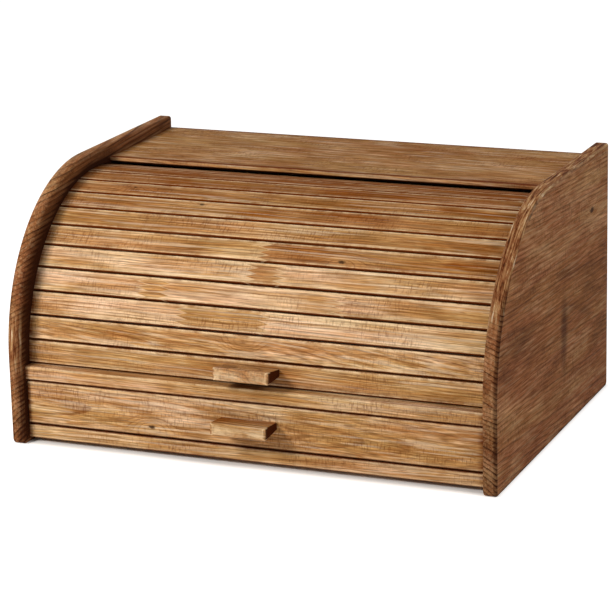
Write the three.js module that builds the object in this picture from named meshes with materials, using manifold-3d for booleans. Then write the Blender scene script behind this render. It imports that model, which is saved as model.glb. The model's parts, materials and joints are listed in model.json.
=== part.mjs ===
// Bread box of stained pine: a roll-up slatted curtain over a shelf, and one shallow drawer under it.
// Millimetres, X to the right, Y to the back, Z up. The origin lies on the surface that the box stands on,
// under the middle of the whole box with its two pulls.
import * as THREE from 'three';
import { mergeVertices } from 'three/addons/utils/BufferGeometryUtils.js';
import Module from 'manifold-3d';

const wasm = await Module();
wasm.setup();

// Overall box. The height follows from the stack of heights below and comes to 205.
const width = 400;
const depth = 290;
const boardThickness = 11;
const shoulderRadius = 135;
const panelArris = 1.5;
const footCorner = 3;
const boardArris = 1;

// Stack of heights, from the surface up
const footRise = 3.5;
const drawerGapBelow = 1.5;
const drawerFrontHeight = 34.5;
const drawerGapAbove = 1;
const curtainAxisRise = 0.5;
const crestCover = 13.8;

// Front faces of the boards behind the front edges of the side panels
const shelfSetback = 7;
const drawerSetback = 8;
const bottomSetback = 9;

// Curtain of slats glued on cloth, running in a round groove in each side panel
const curtainFrontInset = 15.6;
const curtainBackInset = 18;
const slatWidth = 18;
const slatThickness = 6.5;
const slatJointGap = 0.3;
const slatArris = 0.7;
const slatEndPlay = 1;
const closedGap = 0.5;
const openAngle = THREE.MathUtils.degToRad(88);
const tailLap = 20;
const grooveDepth = 5;
const grooveClearance = 0.5;
const grooveFootRun = 3;
const clothThickness = 0.8;
const clothSideMargin = 5;
const curtainSwingGap = 3.5;

// Top board, coved underneath where the curtain passes
const topBoardDepth = 120;
const topDrop = 10;
const coveClearance = 2.8;

// Back panel, set in a rebate of each side panel
const backThickness = 4;
const backRebateWidth = 6;

// Drawer
const drawerSideGap = 0.7;
const drawerSideThickness = 8;
const drawerSideDrop = 4.5;
const drawerRunGap = 0.3;
const drawerRabbetDepth = 6;
const drawerBottomThickness = 3;
const drawerBottomRise = 4;
const drawerBottomInsert = 4;

// Pulls, alike on the curtain and the drawer: tallest at the front, narrower at the root
const pullLength = 46;
const pullReach = 22;
const pullFrontHeight = 10;
const pullRootHeight = 6;
const pullArris = 1;
const pullCornerRadius = 2;
const curtainPullRaise = 2;
const drawerPullRaise = 1.5;

// Wood screws that hold the pulls
const screwSpacing = 28;
const screwShankRadius = 1.5;
const screwHeadRadius = 3;
const screwHeadDepth = 2;
const screwBite = 12;

// Dowels between the boards and the side panels
const dowelRadius = 3;
const dowelInPanel = 7;
const dowelInBoard = 21;
const dowelEndMargin = 38;
const topDowelEndMargin = 25;
const dowelSpacing = 160;
const topDowelSpacing = 50;

// Brads of the back panel and the drawer's corners
const bradRadius = 0.8;
const bradHeadRadius = 1.6;
const bradHeadHeight = 1;
const backBradLength = 14;
const drawerBradLength = 18;
const backBradMargin = 20;
const drawerBradMargin = 6;

// Clearance of a piece in the hole or slot that is cut for it, and one overrun for all cuts
const fitGap = 0.3;
const overrun = 2;

// Numbers of repeated pieces and of the flats that make up each round
const sideBradCount = 3;
const shoulderFlats = 30;
const cornerFlats = 5;
const arrisFlats = 2;
const grooveFlats = 72;
const coveFlats = 120;
const rodSides = 12;
const bradSides = 8;

// Heights
const bottomTop = footRise + boardThickness;
const drawerLow = bottomTop + drawerGapBelow;
const drawerTop = drawerLow + drawerFrontHeight;
const shelfUnder = drawerTop + drawerGapAbove;
const shelfTop = shelfUnder + boardThickness;
const axisHeight = shelfTop + curtainAxisRise;
const slatOuterRadius = (depth - curtainFrontInset - curtainBackInset) / 2;
const height = axisHeight + slatOuterRadius + crestCover;
const topBoardTop = height - topDrop;
const topBoardUnder = topBoardTop - boardThickness;

// Curtain geometry
const axisBack = curtainFrontInset + slatOuterRadius;
const slatInnerRadius = slatOuterRadius - slatThickness;
const slatHalfAngle = Math.atan((slatWidth + slatJointGap) / 2 / slatInnerRadius);
const slatPitchAngle = 2 * slatHalfAngle;
const slatCornerRadius = Math.hypot(slatOuterRadius, slatWidth / 2);
const clothOuterRadius = slatInnerRadius - fitGap;
const clothInnerRadius = clothOuterRadius - clothThickness;
const slatEdgeReach = Math.hypot(slatInnerRadius, slatWidth / 2);
const slatEdgeAngle = Math.atan2(slatWidth / 2, slatInnerRadius);
const leadAngle = slatEdgeAngle + Math.asin((shelfTop + closedGap - axisHeight) / slatEdgeReach);
const topBoardFront = depth - topBoardDepth;
const tailAngle = Math.PI / 2 + Math.asin((topBoardFront + tailLap - axisBack) / slatOuterRadius);
const slatCount = Math.ceil((tailAngle - leadAngle + slatEdgeAngle) / slatPitchAngle);
const tailEndAngle = leadAngle + (slatCount - 1) * slatPitchAngle + slatHalfAngle;
const grooveInner = slatInnerRadius - grooveClearance;
const grooveOuter = slatCornerRadius + grooveClearance;
const grooveStart = -grooveFootRun / slatOuterRadius;
const grooveEnd = tailEndAngle + openAngle + grooveClearance / slatInnerRadius;

// Widths and depths
const panelInner = width / 2 - boardThickness;
const slatHalfLength = panelInner + grooveDepth - slatEndPlay;
const backFront = depth - backThickness;
const sweptInner = clothInnerRadius - curtainSwingGap;
const shelfBack = axisBack + Math.sqrt(sweptInner ** 2 - (axisHeight - shelfUnder) ** 2);
const drawerHalf = panelInner - drawerSideGap;
const drawerSideLow = bottomTop + drawerRunGap;
const drawerSideTop = drawerTop - drawerSideDrop;
const drawerRear = axisBack + Math.sqrt(sweptInner ** 2 - (axisHeight - drawerSideLow) ** 2);
const drawerFrontBack = drawerSetback + boardThickness;
const drawerInner = drawerHalf - drawerSideThickness;
const drawerFloor = drawerSideLow + drawerBottomRise;
const drawerBradLow = drawerFloor + drawerBottomThickness + drawerBradMargin;
const drawerBradHigh = drawerSideTop - drawerBradMargin;
const pullFront = Math.min(drawerSetback, curtainFrontInset) - pullReach;
const originBack = (depth + Math.min(0, pullFront)) / 2;

// Colours of the stained wood, the lightest first
const tan = 0xb8844f;
const honey = 0xa8713f;
const russet = 0x8f5a33;
const brown = 0x74492c;

const plywoodColour = 0xb58d5c;
const clothColour = 0xcbbf9f;
const dowelColour = 0xd3b083;
const steelColour = 0xb8b6ae;

// Looks of the materials, one for each kind of piece
const looks = {
  tan: { color: tan, roughness: 0.55, metalness: 0 },
  honey: { color: honey, roughness: 0.55, metalness: 0 },
  russet: { color: russet, roughness: 0.55, metalness: 0 },
  brown: { color: brown, roughness: 0.55, metalness: 0 },
  plywood: { color: plywoodColour, roughness: 0.7, metalness: 0 },
  cloth: { color: clothColour, roughness: 0.95, metalness: 0 },
  dowel: { color: dowelColour, roughness: 0.7, metalness: 0 },
  steel: { color: steelColour, roughness: 0.35, metalness: 1 },
};

// A slab between the lowest and highest values given for each axis
function slab([x0, x1], [y0, y1], [z0, z1]) {
  const shape = new THREE.BoxGeometry(x1 - x0, y1 - y0, z1 - z0);
  return shape.translate((x0 + x1) / 2, (y0 + y1) / 2, (z0 + z1) / 2);
}

// A side outline, drawn as distance to the back and height, carried along X
const sidePlane = new THREE.Matrix4().makeBasis(
  new THREE.Vector3(0, 1, 0),
  new THREE.Vector3(0, 0, 1),
  new THREE.Vector3(1, 0, 0),
);

function prism(outline, [x0, x1]) {
  const shape = new THREE.ExtrudeGeometry(outline, { depth: x1 - x0, bevelEnabled: false });
  return shape.applyMatrix4(sidePlane).translate(x0, 0, 0);
}

function polygon(points) {
  return new THREE.Shape(points.map(([back, up]) => new THREE.Vector2(back, up)));
}

// A point of the curtain's side view: its distance from the axis, and its angle up from the front
function onCurtain(radius, angle) {
  return [axisBack - radius * Math.cos(angle), axisHeight + radius * Math.sin(angle)];
}

// A band about the curtain's axis, between two radii and two angles, with true flats
function band(inner, outer, start, end, flats) {
  const steps = Array.from({ length: flats + 1 }, (_, i) => start + ((end - start) * i) / flats);
  const out = steps.map((angle) => onCurtain(outer, angle));
  const back = steps.reverse().map((angle) => onCurtain(inner, angle));
  return polygon([...out, ...back]);
}

// A round bar along X or Y, from one end to the other
function barX(radius, [x0, x1], y, z, sides) {
  const shape = new THREE.CylinderGeometry(radius, radius, x1 - x0, sides);
  return shape.rotateZ(-Math.PI / 2).translate((x0 + x1) / 2, y, z);
}

// A pin along Y with a wider head at its back end, given by radius and length pairs
function headedPin(profile, y0) {
  const points = profile.map(([radius, along]) => new THREE.Vector2(radius, along));
  return new THREE.LatheGeometry(points, bradSides).translate(0, y0, 0);
}

function bareShape(geometry) {
  const shape = geometry.clone();
  shape.deleteAttribute('normal');
  shape.deleteAttribute('uv');
  return shape;
}

function toSolid(geometry) {
  const shape = mergeVertices(bareShape(geometry));
  const vertProperties = new Float32Array(shape.attributes.position.array);
  const triVerts = new Uint32Array(shape.index.array);
  return new wasm.Manifold(new wasm.Mesh({ numProp: 3, vertProperties, triVerts }));
}

function toGeometry(solid) {
  const { vertProperties, triVerts } = solid.getMesh();
  const shape = new THREE.BufferGeometry();
  shape.setAttribute('position', new THREE.BufferAttribute(vertProperties, 3));
  shape.setIndex(new THREE.BufferAttribute(triVerts, 1));
  shape.computeVertexNormals();
  return shape;
}

// The body less every cutter
function cut(body, cutters) {
  return toGeometry(cutters.reduce((solid, cutter) => solid.subtract(toSolid(cutter)), toSolid(body)));
}

// What two solids have in common
function common(first, second) {
  return toGeometry(toSolid(first).intersect(toSolid(second)));
}

function piece(name, geometry, look) {
  const mesh = new THREE.Mesh(geometry, new THREE.MeshStandardMaterial(look));
  mesh.name = name;
  return mesh;
}

const sides = [
  { word: 'left', sign: -1 },
  { word: 'right', sign: 1 },
];

// A stretch along X, given for the right side, on either side
function onSide(sign, [x0, x1]) {
  return sign > 0 ? [x0, x1] : [-x1, -x0];
}

// A board from its front to its back, with its two front arrises taken off
function boardSection([y0, y1], [z0, z1], arris) {
  return polygon([
    [y1, z0],
    [y1, z1],
    [y0 + arris, z1],
    [y0, z1 - arris],
    [y0, z0 + arris],
    [y0 + arris, z0],
  ]);
}

// Two dowels on each side in every board between the panels
const dowelRows = [
  { board: 'shelf', front: shelfSetback + dowelEndMargin, spacing: dowelSpacing, low: shelfUnder },
  { board: 'bottom', front: bottomSetback + dowelEndMargin, spacing: dowelSpacing, low: footRise },
  {
    board: 'top',
    front: depth - topDowelEndMargin - topDowelSpacing,
    spacing: topDowelSpacing,
    low: topBoardUnder,
  },
];

function dowelsIn(row, gap) {
  const ends = [panelInner - dowelInBoard - gap, panelInner + dowelInPanel + gap];
  return sides.flatMap(({ word, sign }) => ['front', 'back'].map((place, i) => {
    const back = row.front + i * row.spacing;
    const up = row.low + boardThickness / 2;
    const geometry = barX(dowelRadius + gap, onSide(sign, ends), back, up, rodSides);
    return { name: `${row.board}_dowel_${word}_${place}`, geometry };
  }));
}

function dowelHoles(row) {
  return dowelsIn(row, fitGap).map(({ geometry }) => geometry);
}

// Profile of a brad, from its tip to its flat head
function bradProfile(length, gap) {
  return [
    [0, -length - gap],
    [bradRadius + gap, -length - gap],
    [bradRadius + gap, -bradHeadHeight - gap],
    [bradHeadRadius + gap, -bradHeadHeight - gap],
    [bradHeadRadius + gap, gap],
    [0, gap],
  ];
}

// Brads of the back panel: up each side panel, and one into the bottom board
const sideBradLow = footRise + backBradMargin;
const sideBradStep = (topBoardUnder - backBradMargin - sideBradLow) / (sideBradCount - 1);
const sideBradX = panelInner + backRebateWidth / 2;

function backBrads(gap) {
  const profile = bradProfile(backBradLength, gap);
  const brad = (name, x, up) => ({ name, geometry: headedPin(profile, depth).translate(x, 0, up) });
  const count = Array.from({ length: sideBradCount }, (_, i) => i);
  return [
    ...sides.flatMap(({ word, sign }) => count.map((i) => {
      const up = sideBradLow + i * sideBradStep;
      return brad(`back_brad_${word}_${i + 1}`, sign * sideBradX, up);
    })),
    brad('back_brad_bottom', 0, footRise + boardThickness / 2),
  ];
}

function backBradHoles() {
  return backBrads(fitGap).map(({ geometry }) => geometry);
}

// Screws of a pull, along Y, with the head flush with the back of what they are driven through
function screwProfile(length, gap) {
  return [
    [0, -length - gap],
    [screwShankRadius + gap, -length - gap],
    [screwShankRadius + gap, -screwHeadDepth - gap],
    [screwHeadRadius + gap, gap],
    [0, gap],
  ];
}

// The screw on one side, from the outer face at the given place, in the plane X = 0
function pullScrew(sign, thickness, [face, up], gap) {
  const profile = screwProfile(thickness + screwBite, gap);
  return headedPin(profile, face + thickness).translate((sign * screwSpacing) / 2, 0, up);
}

function pullHoles(thickness, place) {
  return sides.map(({ sign }) => pullScrew(sign, thickness, place, fitGap));
}

function pullScrews(name, thickness, place) {
  return sides.map(({ word, sign }) => {
    return piece(`${name}_screw_${word}`, pullScrew(sign, thickness, place, 0), looks.steel);
  });
}

// A pull, from its root at the given place to its front: rounded in plan, narrower at the root
function pull(name, [root, up], holes) {
  const half = pullLength / 2;
  const front = root - pullReach;
  const section = polygon([
    [root, up - pullRootHeight / 2],
    [root, up + pullRootHeight / 2],
    [front + pullArris, up + pullFrontHeight / 2],
    [front, up + pullFrontHeight / 2 - pullArris],
    [front, up - pullFrontHeight / 2 + pullArris],
    [front + pullArris, up - pullFrontHeight / 2],
  ]);
  const plan = new THREE.Shape();
  const corner = front + pullCornerRadius;
  plan.moveTo(half, root);
  plan.lineTo(-half, root);
  plan.absarc(-half + pullCornerRadius, corner, pullCornerRadius, Math.PI, 1.5 * Math.PI, false);
  plan.absarc(half - pullCornerRadius, corner, pullCornerRadius, 1.5 * Math.PI, 2 * Math.PI, false);
  const settings = { depth: pullFrontHeight, bevelEnabled: false, curveSegments: cornerFlats };
  const block = new THREE.ExtrudeGeometry(plan, settings).translate(0, 0, up - pullFrontHeight / 2);
  const body = common(prism(section, [-half - overrun, half + overrun]), block);
  return piece(name, cut(body, holes), looks.tan);
}

// Side panel: upright front, quarter-round shoulder, flat top and upright back
function sidePanel({ word, sign }) {
  const outline = new THREE.Shape();
  outline.moveTo(0, footCorner);
  outline.lineTo(footCorner, 0);
  outline.lineTo(depth - footCorner, 0);
  outline.lineTo(depth, footCorner);
  outline.lineTo(depth, height);
  const centre = height - shoulderRadius;
  outline.absarc(shoulderRadius, centre, shoulderRadius, Math.PI / 2, Math.PI, false);
  const body = new THREE.ExtrudeGeometry(outline, {
    depth: boardThickness - 2 * panelArris,
    curveSegments: shoulderFlats,
    bevelThickness: panelArris,
    bevelSize: panelArris,
    bevelOffset: -panelArris,
    bevelSegments: arrisFlats,
  });
  body.applyMatrix4(sidePlane).translate(onSide(sign, [panelInner, width / 2])[0] + panelArris, 0, 0);
  const sunk = (by) => onSide(sign, [panelInner - overrun, panelInner + by]);
  const groove = band(grooveInner, grooveOuter, grooveStart, grooveEnd, grooveFlats);
  const cutters = [
    prism(groove, sunk(grooveDepth)),
    slab(sunk(backRebateWidth), [backFront - fitGap, depth + overrun], [-overrun, topBoardUnder]),
    ...dowelRows.flatMap(dowelHoles),
    ...backBradHoles(),
  ];
  return piece(`side_panel_${word}`, cut(body, cutters), looks.brown);
}

function shelfBoard() {
  const section = boardSection([shelfSetback, shelfBack], [shelfUnder, shelfTop], boardArris);
  const body = prism(section, [-panelInner, panelInner]);
  return piece('shelf_board', cut(body, dowelHoles(dowelRows[0])), looks.honey);
}

function bottomBoard() {
  const section = boardSection([bottomSetback, backFront - fitGap], [footRise, bottomTop], boardArris);
  const body = prism(section, [-panelInner, panelInner]);
  const cutters = [...dowelHoles(dowelRows[1]), ...backBradHoles()];
  return piece('bottom_board', cut(body, cutters), looks.honey);
}

function topBoard() {
  const section = boardSection([topBoardFront, depth], [topBoardUnder, topBoardTop], boardArris);
  const body = prism(section, [-panelInner, panelInner]);
  const coveEnds = [-panelInner - overrun, panelInner + overrun];
  const cove = barX(slatCornerRadius + coveClearance, coveEnds, axisBack, axisHeight, coveFlats);
  return piece('top_board', cut(body, [cove, ...dowelHoles(dowelRows[2])]), looks.russet);
}

function backPanel() {
  const half = panelInner + backRebateWidth - fitGap;
  const body = slab([-half, half], [backFront, depth], [footRise, topBoardUnder - fitGap]);
  return piece('back_panel', cut(body, backBradHoles()), looks.plywood);
}

// One slat, drawn at the front of the curtain at the height of its axis
function slatShape() {
  const half = slatWidth / 2;
  const section = boardSection([-slatOuterRadius, -slatInnerRadius], [-half, half], slatArris);
  return prism(section, [-slatHalfLength, slatHalfLength]);
}

// Cloth behind the slats, flat behind each one and folded at the joints
function clothShape() {
  const fold = Math.cos(slatHalfAngle);
  const ends = [leadAngle - slatHalfAngle, tailEndAngle];
  const half = panelInner - clothSideMargin;
  return prism(band(clothInnerRadius / fold, clothOuterRadius / fold, ...ends, slatCount), [-half, half]);
}

// Turns what is drawn at the curtain's front, about the curtain's axis, by an angle up from the front
function turned(object, angle) {
  object.position.set(0, axisBack, axisHeight);
  object.rotation.x = -angle;
  object.updateMatrix();
  return object;
}

function curtain() {
  const shades = [looks.tan, looks.honey, looks.tan, looks.russet];
  const thickness = slatThickness + fitGap + clothThickness;
  const face = [-slatOuterRadius, curtainPullRaise];
  const holes = pullHoles(thickness, face);
  const lead = new THREE.Group();
  lead.add(piece('curtain_slat_01', cut(slatShape(), holes), looks.tan));
  lead.add(pull('curtain_pull', [face[0] - fitGap, face[1]], holes));
  lead.add(...pullScrews('curtain_pull', thickness, face));
  const pieces = [turned(lead, leadAngle)];
  for (let i = 1; i < slatCount; i += 1) {
    const name = `curtain_slat_${String(i + 1).padStart(2, '0')}`;
    const slat = piece(name, slatShape(), shades[i % shades.length]);
    pieces.push(turned(slat, leadAngle + i * slatPitchAngle));
  }
  const clothHoles = holes.map((hole) => hole.applyMatrix4(lead.matrix));
  pieces.push(piece('curtain_cloth', cut(clothShape(), clothHoles), looks.cloth));
  return pieces;
}

// Brads through the drawer's sides: two into the end of the front, one into the end of the back
const drawerBradPlaces = [
  { place: 'front_low', back: drawerFrontBack - drawerRabbetDepth / 2, up: drawerBradLow },
  { place: 'front_high', back: drawerFrontBack - drawerRabbetDepth / 2, up: drawerBradHigh },
  { place: 'back', back: drawerRear - drawerSideThickness / 2, up: (drawerBradLow + drawerBradHigh) / 2 },
];

function drawerBrads(gap) {
  const profile = bradProfile(drawerBradLength, gap);
  return sides.flatMap(({ word, sign }) => drawerBradPlaces.map(({ place, back, up }) => {
    const brad = headedPin(profile, 0).rotateZ((-sign * Math.PI) / 2);
    const geometry = brad.translate(sign * drawerHalf, back, up);
    return { name: `drawer_brad_${word}_${place}`, geometry };
  }));
}

// Drawer bottom, or the slot for it with a gap all round
function drawerBottomShape(gap) {
  const half = drawerInner + drawerBottomInsert + gap;
  const front = drawerFrontBack - drawerBottomInsert - gap;
  const back = drawerRear - drawerSideThickness + drawerBottomInsert + gap;
  return slab([-half, half], [front, back], [drawerFloor - gap, drawerFloor + drawerBottomThickness + gap]);
}

function drawer() {
  const slots = [drawerBottomShape(fitGap), ...drawerBrads(fitGap).map(({ geometry }) => geometry)];
  const face = [drawerSetback, (drawerLow + drawerTop) / 2 + drawerPullRaise];
  const holes = pullHoles(boardThickness, face);
  const section = boardSection([drawerSetback, drawerFrontBack], [drawerLow, drawerTop], boardArris);
  const rabbets = sides.map(({ sign }) => slab(
    onSide(sign, [drawerInner - fitGap, drawerHalf + overrun]),
    [drawerFrontBack - drawerRabbetDepth - fitGap, drawerFrontBack + overrun],
    [drawerLow - overrun, drawerTop + overrun],
  ));
  const front = cut(prism(section, [-drawerHalf, drawerHalf]), [...rabbets, ...slots, ...holes]);
  const up = [drawerSideLow, drawerSideTop];
  const sidePieces = sides.map(({ word, sign }) => {
    const across = onSide(sign, [drawerInner, drawerHalf]);
    const side = slab(across, [drawerFrontBack - drawerRabbetDepth, drawerRear], up);
    return piece(`drawer_side_${word}`, cut(side, slots), looks.honey);
  });
  const half = drawerInner - fitGap;
  const back = slab([-half, half], [drawerRear - drawerSideThickness, drawerRear], up);
  return [
    piece('drawer_front', front, looks.tan),
    ...sidePieces,
    piece('drawer_back', cut(back, slots), looks.honey),
    piece('drawer_bottom', drawerBottomShape(0), looks.plywood),
    ...drawerBrads(0).map(({ name, geometry }) => piece(name, geometry, looks.steel)),
    pull('drawer_pull', face, holes),
    ...pullScrews('drawer_pull', boardThickness, face),
  ];
}

const group = new THREE.Group();
group.add(...sides.map(sidePanel), topBoard(), shelfBoard(), bottomBoard(), backPanel());
dowelRows.forEach((row) => {
  group.add(...dowelsIn(row, 0).map(({ name, geometry }) => piece(name, geometry, looks.dowel)));
});
group.add(...backBrads(0).map(({ name, geometry }) => piece(name, geometry, looks.steel)));
group.add(...curtain(), ...drawer());
group.position.y = -originBack;

export default group;
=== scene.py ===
"""Bread box of stained pine with a roll-up curtain and a drawer: its surfaces, finishes and studio."""
import functools
import json
import math

import bmesh
import bpy
import numpy as np
from mathutils import Matrix, Vector


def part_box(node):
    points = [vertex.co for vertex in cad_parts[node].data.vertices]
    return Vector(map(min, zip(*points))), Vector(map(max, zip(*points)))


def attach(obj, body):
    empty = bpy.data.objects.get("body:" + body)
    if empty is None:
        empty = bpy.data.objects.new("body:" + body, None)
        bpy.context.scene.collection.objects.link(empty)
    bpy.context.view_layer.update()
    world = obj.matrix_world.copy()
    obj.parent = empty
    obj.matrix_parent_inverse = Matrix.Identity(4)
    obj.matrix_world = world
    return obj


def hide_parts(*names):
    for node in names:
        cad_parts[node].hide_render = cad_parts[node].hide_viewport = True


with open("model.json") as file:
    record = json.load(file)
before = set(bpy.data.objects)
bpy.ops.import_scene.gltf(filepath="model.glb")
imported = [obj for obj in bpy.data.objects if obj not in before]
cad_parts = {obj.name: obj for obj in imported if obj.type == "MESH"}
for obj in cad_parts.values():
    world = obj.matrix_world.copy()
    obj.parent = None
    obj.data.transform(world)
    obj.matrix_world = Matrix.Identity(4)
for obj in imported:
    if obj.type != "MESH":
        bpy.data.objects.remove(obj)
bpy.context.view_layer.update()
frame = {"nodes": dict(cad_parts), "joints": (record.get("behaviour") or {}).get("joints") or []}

bl_info = {
    "name": "Roll-top bread box",
    "version": (1, 0, 0),
    "blender": (4, 5, 0),
    "location": "3D View > Sidebar > Bread Box",
    "description": "Builds a stained pine bread box with a roll-up curtain and a drawer on its solid model",
    "category": "Object",
}

MM = 0.001

# Places that the solid model gives, in metres
LOW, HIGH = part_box("side_panel_right")
PANEL_IN, PANEL_OUT = LOW.x, HIGH.x
THICK = PANEL_OUT - PANEL_IN
FRONT, BACK, TOP = LOW.y, HIGH.y, HIGH.z
ROLL = next(joint for joint in frame["joints"] if joint["name"] == "curtain_roll")
AXIS_Y, AXIS_Z = ROLL["pos_m"][1:]

# The curtain's outer face runs 15.6 mm behind the front of the side panels
CURTAIN_RADIUS = AXIS_Y - FRONT - 15.6 * MM
# The groove runs between these angles about the curtain's axis, counted from the rear up over the top
GROOVE_FROM, GROOVE_TO = math.radians(-20.24), math.radians(181.34)
# Play between the solid model's pieces and what fits over them
PLAY = 0.3 * MM
# Radius of the arrises that nobody sees or touches
SLIGHT = 0.3 * MM
# Two rings or rays that make a step lie this far apart, in metres or radians
TINY = 1e-5
# How far from the side panels boards and slats have rings of their own, where the stain changes
NEAR_END = np.array([0.8, 1.8, 3.0, 6.0]) * MM
# Points of a surface closer than this are one, and an edge is sharp where its faces turn by this much
SAME_PLACE, SHARP = 1e-6, math.radians(35)
# Metres to the knot or joint of a stick that has none
FAR = 9
# How far planed faces ripple
RIPPLE = 0.05 * MM


def linear(text):
    """Linear colour of an sRGB hex value such as #b8844f."""
    value = np.array([int(text[i:i + 2], 16) for i in (1, 3, 5)]) / 255
    return tuple(np.where(value <= 0.04045, value / 12.92, ((value + 0.055) / 1.055) ** 2.4).tolist())


def real(name, description, default, **settings):
    return bpy.props.FloatProperty(name=name, description=description, default=default, **settings)


def length(name, description, millimetres):
    return real(name, description, millimetres * MM, min=0, precision=5, unit="LENGTH")


def colour(name, description, text):
    return bpy.props.FloatVectorProperty(name=name, description=description, default=linear(text),
                                         size=3, min=0, max=1, subtype="COLOR")


class BreadBoxSizes(bpy.types.PropertyGroup):
    """Sizes of the wooden pieces"""
    panel_arris: length("Panel arris", "Radius of the side panels' rounded arrises", 1.8)
    foot_radius: length("Foot radius", "Radius of the side panels' lower corners", 4)
    shoulder_radius: length("Shoulder radius", "Radius of the side panels' round shoulder", 135)
    board_arris: length("Board arris", "Radius of the boards' rounded front arrises", 1.4)
    slat_arris: length("Slat arris", "Radius of the slats' rounded outer arrises", 1.1)
    slat_width: length("Slat width", "Width of one slat of the curtain", 18)
    slat_thickness: length("Slat thickness", "Thickness of one slat of the curtain", 6.5)
    slat_gap: length("Slat gap", "Gap between two slats at the cloth", 0.3)
    groove_depth: length("Groove depth", "Depth of the round groove that guides the curtain", 5)
    groove_play: length("Groove play", "Play of the slats in the groove", 0.5)
    pull_corner: length("Pull corner", "Radius of the pulls' front corners seen from above", 2)
    pull_arris: length("Pull arris", "Radius of the pulls' long arrises", 0.9)
    ring_spacing: length("Ring spacing", "Spacing of the growth rings of the pine", 2.3)


class BreadBoxColours(bpy.types.PropertyGroup):
    """Colours of the stain and of the plain pieces"""
    light: colour("Light stain", "Early wood where the stain is thin", "#f3dabb")
    honey: colour("Honey stain", "Early wood where the stain is even", "#bc915f")
    deep: colour("Deep stain", "Early wood where the stain is deep", "#8a4f14")
    # This colour, and the panels' late wood below, also paint the shade in joints, grooves and corners
    late: colour("Late wood", "Dark lines of the growth rings, and stain that stands in gaps", "#642b0b")
    pull_end: colour("Pull end", "Cut ends of the pulls, where the stain soaked in", "#3f1906")
    golden_cast: colour("Golden cast", "Cast of the stain where it is golden", "#fffbea")
    red_cast: colour("Red cast", "Cast of the stain where it is red", "#fdeee7")
    worn: colour("Worn arris", "Wood laid bare on rubbed arrises", "#f2d3a6")
    panel_light: colour("Light panel stain", "Walnut stain of the side panels where it is thin", "#c49b72")
    panel: colour("Panel stain", "Walnut stain of the side panels where it is even", "#97633f")
    panel_deep: colour("Deep panel stain", "Walnut stain of the side panels where it pooled", "#5c3a22")
    panel_late: colour("Panel late wood", "Dark lines of the growth rings under walnut stain", "#32170a")
    knot: colour("Knot", "Heart of a knot", "#341a0b")
    plywood: colour("Plywood", "Bare birch plywood", "#cda777")
    plywood_fleck: colour("Plywood fleck", "Vessels of the birch plywood", "#8a6238")
    beech: colour("Beech", "Bare beech of the dowels", "#d3b083")
    canvas: colour("Canvas", "Cotton canvas behind the slats", "#d3c8a8")
    zinc: colour("Zinc", "Zinc plating of screws and brads", "#b9b8b2")
    floor: colour("Floor", "Floor and backdrop", "#f4f2ef")


class BreadBoxStage(bpy.types.PropertyGroup):
    """Camera and light"""
    focal_length: real("Focal length", "Lens of the camera in millimetres", 156.28, min=1)
    camera_place: bpy.props.FloatVectorProperty(name="Camera place", description="Where the camera stands",
                                                default=(0.7828, -1.8913, 0.6725), subtype="TRANSLATION")
    bearing: real("Bearing", "Camera's turn to the right of the front", math.radians(22.565),
                    subtype="ANGLE")
    elevation: real("Elevation", "Camera's angle above the horizon", math.radians(15.875), subtype="ANGLE")
    roll: real("Roll", "Camera's turn about its line of sight", math.radians(-1.396), subtype="ANGLE")
    key_power: real("Key light", "Power of the large soft lamp", 12.5, min=0, unit="POWER")
    fill_power: real("Fill light", "Power of the weak lamp on the right", 7, min=0, unit="POWER")
    sky: real("Sky", "Strength of the even light from all round", 0.31, min=0)
    floor_glow: real("Floor white", "White that the camera sees on the floor", 0.74, min=0)


# Node trees

def put(tree, kind, inputs=(), stops=None, **settings):
    """Adds one shader node of a kind, which may end in its operation, with its settings, the stops of its
    ramp, and its inputs, listed in order or given by number or name: each is a number, a colour, a vector,
    a socket to link, or a node whose first output in use is linked."""
    kind, *operation = kind.split()
    node = tree.nodes.new("ShaderNode" + kind)
    if operation:
        node.operation = operation[0]
    for name, value in settings.items():
        setattr(node, name, value)
    for key, value in inputs.items() if isinstance(inputs, dict) else enumerate(inputs):
        if isinstance(value, bpy.types.Node):
            value = next(socket for socket in value.outputs if socket.enabled)
        if isinstance(value, bpy.types.NodeSocket):
            tree.links.new(value, node.inputs[key])
        elif node.inputs[key].type == "RGBA":
            node.inputs[key].default_value = (*tuple(value)[:3], 1)
        else:
            node.inputs[key].default_value = value
    if stops:
        ramp = node.color_ramp
        while len(ramp.elements) < len(stops):
            ramp.elements.new(0.5)
        for element, (place, level) in zip(ramp.elements, stops):
            element.position = place
            element.color = (*level, 1) if hasattr(level, "__len__") else (level, level, level, 1)
    return node


def dress(holder, draw, **given):
    """Fills a new material or world with the nodes that draw adds, and shows the shader that it returns."""
    holder.use_nodes = True
    tree = holder.node_tree
    tree.nodes.clear()
    add = functools.partial(put, tree)
    output = add("OutputWorld" if isinstance(holder, bpy.types.World) else "OutputMaterial")
    tree.links.new(draw(add, **given).outputs[0], output.inputs["Surface"])
    return holder


def at_level(tint, level):
    """Linear colour made brighter or duller by a factor."""
    return tuple(min(1.0, level * part) for part in tint)


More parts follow.
